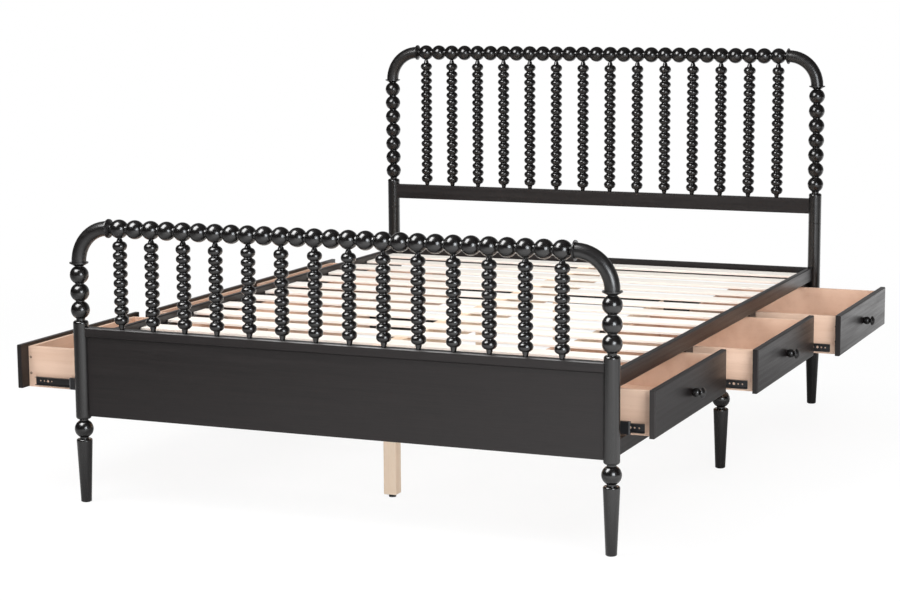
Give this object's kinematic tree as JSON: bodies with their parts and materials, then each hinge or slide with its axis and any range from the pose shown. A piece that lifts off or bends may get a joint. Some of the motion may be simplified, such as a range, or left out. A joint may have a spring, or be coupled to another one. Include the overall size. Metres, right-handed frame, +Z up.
{
  "type": "storage bed frame",
  "caption": "Queen bed frame with turned ball rails and posts, beaded spindles, a panelled foot, a slatted base and drawers on slides along both sides.",
  "frame": {"origin": "on the floor at the middle of the bed", "axes": "+X across the bed, +Y from the foot to the head, +Z up"},
  "size_m": [2.175, 2.1875, 1.2205],
  "materials": {
    "black_wood": "satin",
    "drawer_wood": "matte",
    "slat_wood": "matte",
    "pine": "matte",
    "dowel_wood": "matte",
    "slide_steel": "satin",
    "bracket_steel": "satin",
    "glide_plastic": "matte"
  },
  "bodies": {
    "frame": {"foot_post_left": "black_wood", "foot_post_right": "black_wood", "head_post_left": "black_wood", "head_post_right": "black_wood", "head_upper_posts": "black_wood", "foot_elbows": "black_wood", "head_elbows": "black_wood", "foot_top_rail": "black_wood", "head_top_rail": "black_wood", "foot_spindles": "black_wood", "head_spindles": "black_wood", "foot_cap_rail": "black_wood", "foot_panel": "black_wood", "head_mid_rail": "black_wood", "head_panel": "black_wood", "side_rail_left": "black_wood", "side_rail_right": "black_wood", "lower_rails": "black_wood", "turned_legs": "black_wood", "drawer_partitions": "black_wood", "slat_cleats": "black_wood", "slats": "slat_wood", "inner_rails": "pine", "centre_beam": "pine", "centre_legs": "pine", "joint_dowels": "dowel_wood", "fixed_slides": "slide_steel", "corner_brackets": "bracket_steel", "bracket_screws": "bracket_steel", "leg_glides": "glide_plastic"},
    "drawer_left_1": {"drawer_front_left_1": "black_wood", "drawer_box_left_1": "drawer_wood", "drawer_knob_left_1": "black_wood", "drawer_slide_left_1": "slide_steel"},
    "middle_left_1": {"middle_slide_left_1": "slide_steel"},
    "drawer_left_2": {"drawer_front_left_2": "black_wood", "drawer_box_left_2": "drawer_wood", "drawer_knob_left_2": "black_wood", "drawer_slide_left_2": "slide_steel"},
    "middle_left_2": {"middle_slide_left_2": "slide_steel"},
    "drawer_left_3": {"drawer_front_left_3": "black_wood", "drawer_box_left_3": "drawer_wood", "drawer_knob_left_3": "black_wood", "drawer_slide_left_3": "slide_steel"},
    "middle_left_3": {"middle_slide_left_3": "slide_steel"},
    "drawer_right_1": {"drawer_front_right_1": "black_wood", "drawer_box_right_1": "drawer_wood", "drawer_knob_right_1": "black_wood", "drawer_slide_right_1": "slide_steel"},
    "middle_right_1": {"middle_slide_right_1": "slide_steel"},
    "drawer_right_2": {"drawer_front_right_2": "black_wood", "drawer_box_right_2": "drawer_wood", "drawer_knob_right_2": "black_wood", "drawer_slide_right_2": "slide_steel"},
    "middle_right_2": {"middle_slide_right_2": "slide_steel"},
    "drawer_right_3": {"drawer_front_right_3": "black_wood", "drawer_box_right_3": "drawer_wood", "drawer_knob_right_3": "black_wood", "drawer_slide_right_3": "slide_steel"},
    "middle_right_3": {"middle_slide_right_3": "slide_steel"}
  },
  "joints": [
    {"name": "drawer_left_1_slide", "type": "slide", "parent": "frame", "child": "drawer_left_1", "axis": [-1, 0, 0], "range_m": [-0.26, 0.16]},
    {"name": "middle_left_1_slide", "type": "slide", "parent": "frame", "child": "middle_left_1", "axis": [-1, 0, 0], "range_m": [-0.13, 0.08]},
    {"name": "drawer_left_2_slide", "type": "slide", "parent": "frame", "child": "drawer_left_2", "axis": [-1, 0, 0], "range_m": [-0.2355, 0.1845]},
    {"name": "middle_left_2_slide", "type": "slide", "parent": "frame", "child": "middle_left_2", "axis": [-1, 0, 0], "range_m": [-0.11775, 0.09225]},
    {"name": "drawer_left_3_slide", "type": "slide", "parent": "frame", "child": "drawer_left_3", "axis": [-1, 0, 0], "range_m": [-0.2315, 0.1885]},
    {"name": "middle_left_3_slide", "type": "slide", "parent": "frame", "child": "middle_left_3", "axis": [-1, 0, 0], "range_m": [-0.11575, 0.09425]},
    {"name": "drawer_right_1_slide", "type": "slide", "parent": "frame", "child": "drawer_right_1", "axis": [1, 0, 0], "range_m": [-0.0965, 0.3235]},
    {"name": "middle_right_1_slide", "type": "slide", "parent": "frame", "child": "middle_right_1", "axis": [1, 0, 0], "range_m": [-0.04825, 0.16175]},
    {"name": "drawer_right_2_slide", "type": "slide", "parent": "frame", "child": "drawer_right_2", "axis": [1, 0, 0], "range_m": [-0.1825, 0.2375]},
    {"name": "middle_right_2_slide", "type": "slide", "parent": "frame", "child": "middle_right_2", "axis": [1, 0, 0], "range_m": [-0.09125, 0.11875]},
    {"name": "drawer_right_3_slide", "type": "slide", "parent": "frame", "child": "drawer_right_3", "axis": [1, 0, 0], "range_m": [-0.26, 0.16]},
    {"name": "middle_right_3_slide", "type": "slide", "parent": "frame", "child": "middle_right_3", "axis": [1, 0, 0], "range_m": [-0.13, 0.08]}
  ],
  "couplings": [
    {"joint": "middle_left_1_slide", "follows": "drawer_left_1_slide", "ratio": 0.5},
    {"joint": "middle_left_2_slide", "follows": "drawer_left_2_slide", "ratio": 0.5},
    {"joint": "middle_left_3_slide", "follows": "drawer_left_3_slide", "ratio": 0.5},
    {"joint": "middle_right_1_slide", "follows": "drawer_right_1_slide", "ratio": 0.5},
    {"joint": "middle_right_2_slide", "follows": "drawer_right_2_slide", "ratio": 0.5},
    {"joint": "middle_right_3_slide", "follows": "drawer_right_3_slide", "ratio": 0.5}
  ]
}
